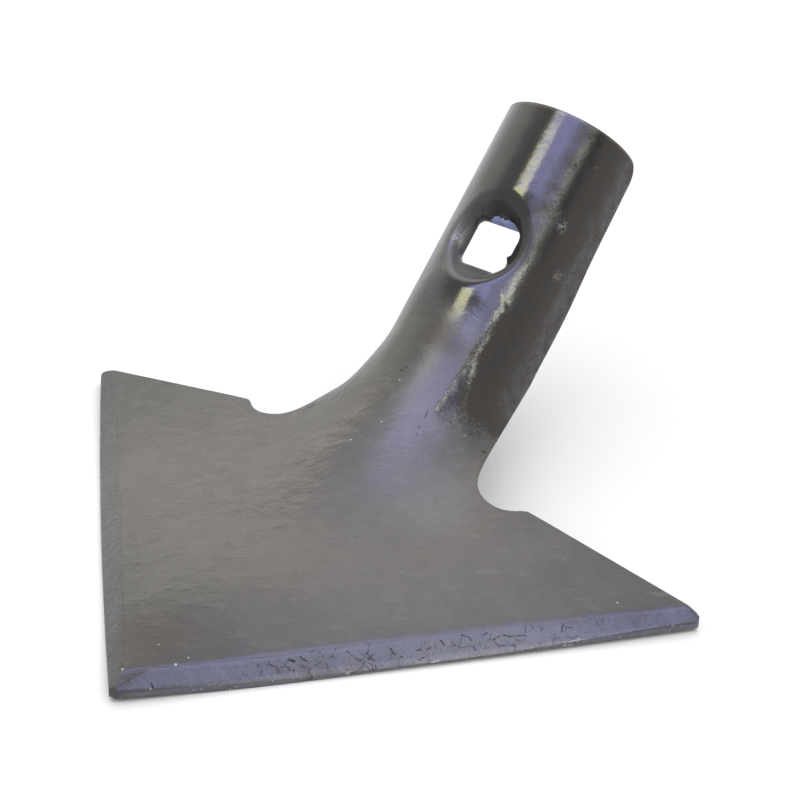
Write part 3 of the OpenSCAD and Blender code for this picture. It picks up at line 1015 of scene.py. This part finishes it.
    # Forging dents, rolling streaks, hammer marks of the left bevel and peel of the lacquer
    dents = n.noise(at, 0.07, 2, 0.5) * (0.4 - stem * 0.28)
    rolled = streaks * (1 - left * 0.4) * 0.16 + skin * left * 0.5
    hammer = n.noise(n.place((900, 900, 200), HAMMERED), 0.8, 2, 0.6) * left_bevel
    peel = n.noise(at, 0.75, 2, 0.6) * (0.05 - stem * 0.025 + stem * x.near(13, 6) * 0.02)
    height = dents + rolled * wing + hammer * 0.25 + peel
    bump = n.node("ShaderNodeBump", None, {"Height": height, "Strength": 1.0, "Distance": MM})
    shader = n.tree.nodes["Principled BSDF"]
    for name, value in (("Base Color", tone), ("Roughness", rough), ("Normal", bump)):
        n.feed(shader, name, value)

    # Coat without gloss: grime in the pits, painted shade on the right flank as a mottled brown
    # film and as a near-black band beside the strip, and dull patches
    mottle = (0.4 + blotch.swing * 1.7 + crumb.swing * 1.6).most(0).least(0.9)
    # Painted shade: the right flank's mask for the dull brown film
    shaded_flank = (x + past_hole.over(-8, 8) * 4.2 + along.over(14, 2) * 3.5).over(11, 17)
    # Painted shade: a near-black band on the stem's right flank, beside the strip's reflection
    shade = stem * x.near(14.5, 3) * past_hole.over(-6, 6) * 0.6
    dull = (spot(*BEND_DULL) * 0.45).most(spot(*NOSE_DULL) * 0.3)
    tone = n.mixed(pit.most(shade * 1.6).least(1), f.stain_and_shade, f.pit)
    dirt_and_shade = n.node(
        "ShaderNodeBsdfPrincipled", None,
        {"Base Color": tone, "Roughness": 0.9, "Specular IOR Level": 0.0, "Normal": bump},
    )
    part = (stem * shaded_flank * mottle).most(pit * 0.8, dull, shade)
    coat = n.node(
        "ShaderNodeMixShader", None, {0: part, 1: Value(n, shader.outputs[0]), 2: dirt_and_shade}
    )
    n.feed(n.tree.nodes["Material Output"], "Surface", coat)
    return material


def standing(place, x, z, turn):
    """Matrix of an object at a place, from its x and z axes and its turn about z."""
    axes = Matrix((x, z.cross(x), z)).transposed() @ Matrix.Rotation(turn, 3, "Z")
    return Matrix.Translation(place) @ axes.to_4x4()


class SWEEP_OT_plate(bpy.types.Operator):
    """Model the formed plate and coat it with lacquer"""

    bl_idname = "sweep.plate"
    bl_label = "Formed plate"

    def execute(self, context):
        mesh = SweepMesh(context.scene.sweep_sizes)
        open_edges = sum(1 for e in mesh.bm.edges if not e.is_manifold)
        if open_edges:
            raise RuntimeError(f"the plate has {open_edges} open edges")
        piece = new_object("sweep_plate", mesh.bm)
        piece.data.materials.append(lacquered(mesh, context.scene.sweep_finish))
        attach(piece, "root")
        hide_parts("sweep")
        return {"FINISHED"}


class SWEEP_OT_stage(bpy.types.Operator):
    """Set up the floor, the lamps and the camera"""

    bl_idname = "sweep.stage"
    bl_label = "Stage"

    # Soft boxes and reflector cards: tilts from overhead to the right and to the front, width,
    # depth and turn in degrees, level, tint, and whether they show in gloss or light the surface
    BOXES = (
        ("key", 0, 0, 100, 100, 0, 0.7, (1, 1, 1), False),
        ("sky", 6.5, 5, 39, 32, 0, 7.0, (0.5, 0.5, 1.0), True),
        ("sky_front", 34, 14, 36, 14, 20, 1.2, (0.54, 0.55, 1.0), True),
        ("edge_card", 36, 12, 20, 18, 20, 3.8, (0.54, 0.56, 1.0), True),
        ("warm_strip", -8, 23.5, 18, 11, 0, 11.5, (1.0, 0.98, 0.56), True),
        ("right_strip", 50.5, 8, 6, 26, 0, 12.0, (1.0, 1.0, 0.84), True),
        ("left_card", -70, 6, 46, 50, 0, 0.5, (1.0, 0.96, 0.9), True),
        ("back_card", -22, -34, 78, 26, 0, 1.7, (1.0, 0.96, 0.88), True),
    )
    # Point that the lamps face and their distance from it, in metres
    MIDDLE, REACH = Vector((0, 0, 0.04)), 1.3
    FLOOR_HALF, CLIP_END = 3, 20

    def execute(self, context):
        settings = context.scene.sweep_stage
        bm = bmesh.new()
        bmesh.ops.create_grid(bm, x_segments=1, y_segments=1, size=self.FLOOR_HALF)
        floor = new_object("floor", bm)
        material = bpy.data.materials.new("floor")
        material.use_nodes = True
        shader = material.node_tree.nodes["Principled BSDF"]
        shader.inputs["Base Color"].default_value = (*settings.floor_colour, 1)
        floor.data.materials.append(material)
        self.world(context.scene, settings)
        for name, *box in self.BOXES:
            self.soft_box(context.scene, name, *box)
        self.camera(context.scene, settings)
        return {"FINISHED"}

    def world(self, scene, settings):
        """White surroundings, dimmer as light than as a background."""
        world = bpy.data.worlds.new("studio")
        world.use_nodes = True
        nodes = Nodes(world.node_tree)
        back = world.node_tree.nodes["Background"]
        back.inputs["Color"].default_value = (1, 1, 1, 1)
        seen = nodes.node("ShaderNodeLightPath", output="Is Camera Ray")
        path = seen.socket.node
        for name in ("Is Glossy Ray", "Is Transmission Ray"):
            seen = seen.most(Value(nodes, path.outputs[name]))
        nodes.feed(back, "Strength", settings.fill + seen * (1 - settings.fill))
        scene.world = world

    def soft_box(self, scene, name, right, front, wide, deep, turn, level, tint, card):
        """Lamp that fills a given angle of the sky over the sweep."""
        tilt = radians(hypot(right, front))
        way = atan2(right, front)
        across = sin(tilt)
        z = Vector((across * sin(way), -across * cos(way), cos(tilt)))
        data = bpy.data.lights.new(name, "AREA")
        data.shape = "RECTANGLE"
        data.size = 2 * self.REACH * tan(radians(wide / 2))
        data.size_y = 2 * self.REACH * tan(radians(deep / 2))
        data.energy = level * pi * data.size * data.size_y
        data.color = tint
        lamp = bpy.data.objects.new(name, data)
        lamp.visible_diffuse = not card
        lamp.visible_glossy = card
        x = (Vector((1, 0, 0)) - z * z.x).normalized()
        lamp.matrix_world = standing(self.MIDDLE + self.REACH * z, x, z, radians(turn))
        scene.collection.objects.link(lamp)

    def camera(self, scene, settings):
        """Camera at the photograph's place."""
        az, el = settings.azimuth, settings.elevation
        right = Vector((cos(az), sin(az), 0))
        back = Vector((sin(az) * cos(el), -cos(az) * cos(el), sin(el)))
        data = bpy.data.cameras.new("camera")
        data.sensor_width = SENSOR_WIDTH
        data.lens = settings.focal_pixels / IMAGE_SIDE * SENSOR_WIDTH
        data.clip_end = self.CLIP_END
        camera = bpy.data.objects.new("camera", data)
        place = Vector(settings.target) + settings.distance * back
        camera.matrix_world = standing(place, right, back, settings.roll)
        scene.collection.objects.link(camera)
        scene.camera = camera


class SWEEP_PT_panel(bpy.types.Panel):
    """Sizes and steps of the sweep"""

    bl_idname = "SWEEP_PT_panel"
    bl_label = "Cultivator sweep"
    bl_space_type = "VIEW_3D"
    bl_region_type = "UI"
    bl_category = "Sweep"

    def draw(self, context):
        layout = self.layout
        for name in GROUPS:
            group = getattr(context.scene, name)
            for key in group.__annotations__:
                layout.prop(group, key)
        layout.operator("sweep.plate")
        layout.operator("sweep.stage")


GROUPS = {"sweep_sizes": SweepSizes, "sweep_finish": LacquerFinish, "sweep_stage": StageSettings}
CLASSES = (*GROUPS.values(), SWEEP_OT_plate, SWEEP_OT_stage, SWEEP_PT_panel)


def register():
    for cls in CLASSES:
        bpy.utils.register_class(cls)
    for name, group in GROUPS.items():
        setattr(bpy.types.Scene, name, bpy.props.PointerProperty(type=group))


def unregister():
    for name in GROUPS:
        delattr(bpy.types.Scene, name)
    for cls in reversed(CLASSES):
        bpy.utils.unregister_class(cls)


def main():
    register()
    bpy.ops.sweep.plate()
    bpy.ops.sweep.stage()
    view = bpy.context.scene.view_settings
    view.view_transform = "Standard"


if __name__ == "__main__":
    main()
